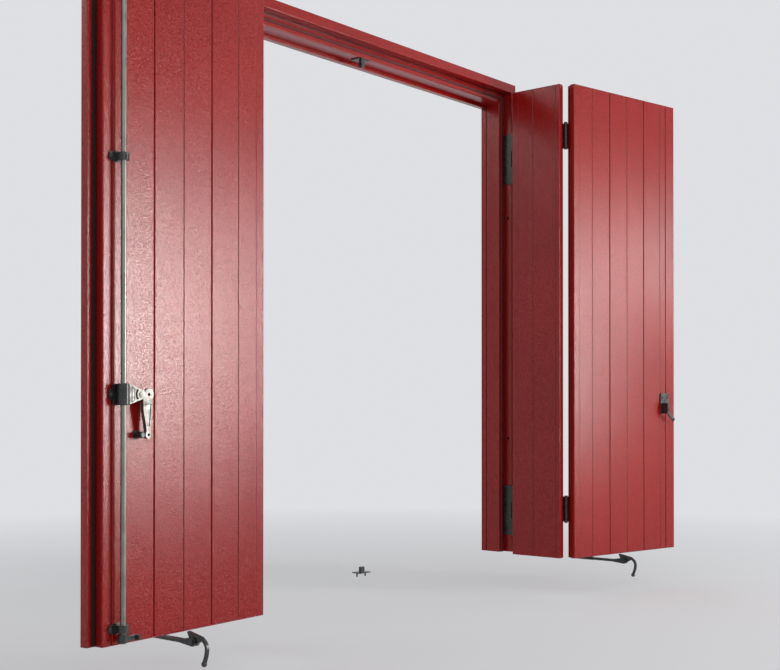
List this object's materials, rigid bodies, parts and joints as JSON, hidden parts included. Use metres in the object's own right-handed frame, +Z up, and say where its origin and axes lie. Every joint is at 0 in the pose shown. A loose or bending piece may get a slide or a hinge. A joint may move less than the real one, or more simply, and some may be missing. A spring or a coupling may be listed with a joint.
{
  "type": "folding window shutter",
  "caption": "Folding window shutter of extruded board leaves in its own mitred frame, folded open, with a turning locking rod, lever, keepers and tipping holdbacks.",
  "frame": {"origin": "middle of the opening, at the height of the feet of the jambs and in the plane of the stop that the closed leaves shut against", "axes": "+X along the wall to the right as seen from the street, +Y into the wall, +Z up"},
  "size_m": [2.0814, 0.4027, 1.4162],
  "materials": {
    "red_coat": "satin fine-textured powder coat",
    "red_caps": "satin powder coat",
    "iron_coat": "satin black coat",
    "rod_steel": "satin",
    "nickel": "satin nickel plate",
    "steel": "zinc plated",
    "alloy": "mill finish",
    "seal": "matt"
  },
  "bodies": {
    "frame": {"left_jamb": "red_coat", "right_jamb": "red_coat", "head_rail": "red_coat", "corner_keys": "alloy", "stop_gaskets": "seal", "trim_strips": "red_coat", "jamb_hinge_halves": "iron_coat", "jamb_hinge_pins": "iron_coat", "frame_screws": "iron_coat", "head_keeper": "iron_coat", "sill_keeper": "iron_coat", "left_holdback_arm": "iron_coat", "right_holdback_arm": "iron_coat", "holdback_pins": "iron_coat"},
    "left_narrow_leaf": {"left_narrow_jamb_stile": "red_coat", "left_narrow_slat": "red_coat", "left_narrow_fold_stile": "red_coat", "left_narrow_end_caps": "red_caps", "left_narrow_tie_rods": "steel", "left_narrow_hinge_halves": "iron_coat", "left_narrow_fold_pins": "iron_coat", "left_narrow_screws": "iron_coat"},
    "left_wide_leaf": {"rod_brackets": "iron_coat", "lever_rest": "iron_coat", "meeting_gasket": "seal", "left_wide_hinge_stile": "red_coat", "left_wide_slat_1": "red_coat", "left_wide_slat_2": "red_coat", "left_wide_slat_3": "red_coat", "left_wide_closing_stile": "red_coat", "left_wide_end_caps": "red_caps", "left_wide_tie_rods": "steel", "left_wide_hinge_halves": "iron_coat", "left_wide_screws": "iron_coat"},
    "right_narrow_leaf": {"right_narrow_jamb_stile": "red_coat", "right_narrow_slat": "red_coat", "right_narrow_fold_stile": "red_coat", "right_narrow_end_caps": "red_caps", "right_narrow_tie_rods": "steel", "right_narrow_hinge_halves": "iron_coat", "right_narrow_fold_pins": "iron_coat", "right_narrow_screws": "iron_coat"},
    "right_wide_leaf": {"lever_keeper": "iron_coat", "right_wide_hinge_stile": "red_coat", "right_wide_slat_1": "red_coat", "right_wide_slat_2": "red_coat", "right_wide_slat_3": "red_coat", "right_wide_closing_stile": "red_coat", "right_wide_end_caps": "red_caps", "right_wide_tie_rods": "steel", "right_wide_hinge_halves": "iron_coat", "right_wide_screws": "iron_coat"},
    "locking_gear": {"locking_rod": "rod_steel", "rod_hooks": "iron_coat", "handle_hub": "iron_coat", "handle_fork": "nickel", "fork_rivet": "nickel"},
    "lever": {"handle_lever": "nickel"},
    "left_catch": {"left_holdback_catch": "iron_coat"},
    "right_catch": {"right_holdback_catch": "iron_coat"}
  },
  "joints": [
    {"name": "left_leaf_swing", "type": "hinge", "parent": "frame", "child": "left_narrow_leaf", "pos_m": [-0.606, -0.035, 0], "axis": [0, 0, 1], "range_deg": [0, 90]},
    {"name": "right_leaf_swing", "type": "hinge", "parent": "frame", "child": "right_narrow_leaf", "pos_m": [0.606, -0.035, 0], "axis": [0, 0, -1], "range_deg": [0, 90]},
    {"name": "left_leaf_fold", "type": "hinge", "parent": "left_narrow_leaf", "child": "left_wide_leaf", "pos_m": [-0.604, -0.2065, 0], "axis": [0, 0, 1], "range_deg": [-4, 86]},
    {"name": "right_leaf_fold", "type": "hinge", "parent": "right_narrow_leaf", "child": "right_wide_leaf", "pos_m": [0.604, -0.2065, 0], "axis": [0, 0, -1], "range_deg": [-11, 79]},
    {"name": "rod_turn", "type": "hinge", "parent": "left_wide_leaf", "child": "locking_gear", "pos_m": [-0.98941, -0.27856, 0], "axis": [0, 0, -1], "range_deg": [0, 180]},
    {"name": "lever_lift", "type": "hinge", "parent": "locking_gear", "child": "lever", "pos_m": [-0.9515, -0.27591, 0.44], "axis": [0.0698, -0.9976, 0], "range_deg": [0, 75]},
    {"name": "left_catch_tip", "type": "hinge", "parent": "frame", "child": "left_catch", "pos_m": [-0.816, -0.26909, -0.02208], "axis": [1, 0, 0], "range_deg": [0, 42]},
    {"name": "right_catch_tip", "type": "hinge", "parent": "frame", "child": "right_catch", "pos_m": [0.784, -0.29012, -0.02208], "axis": [1, 0, 0], "range_deg": [0, 42]}
  ]
}
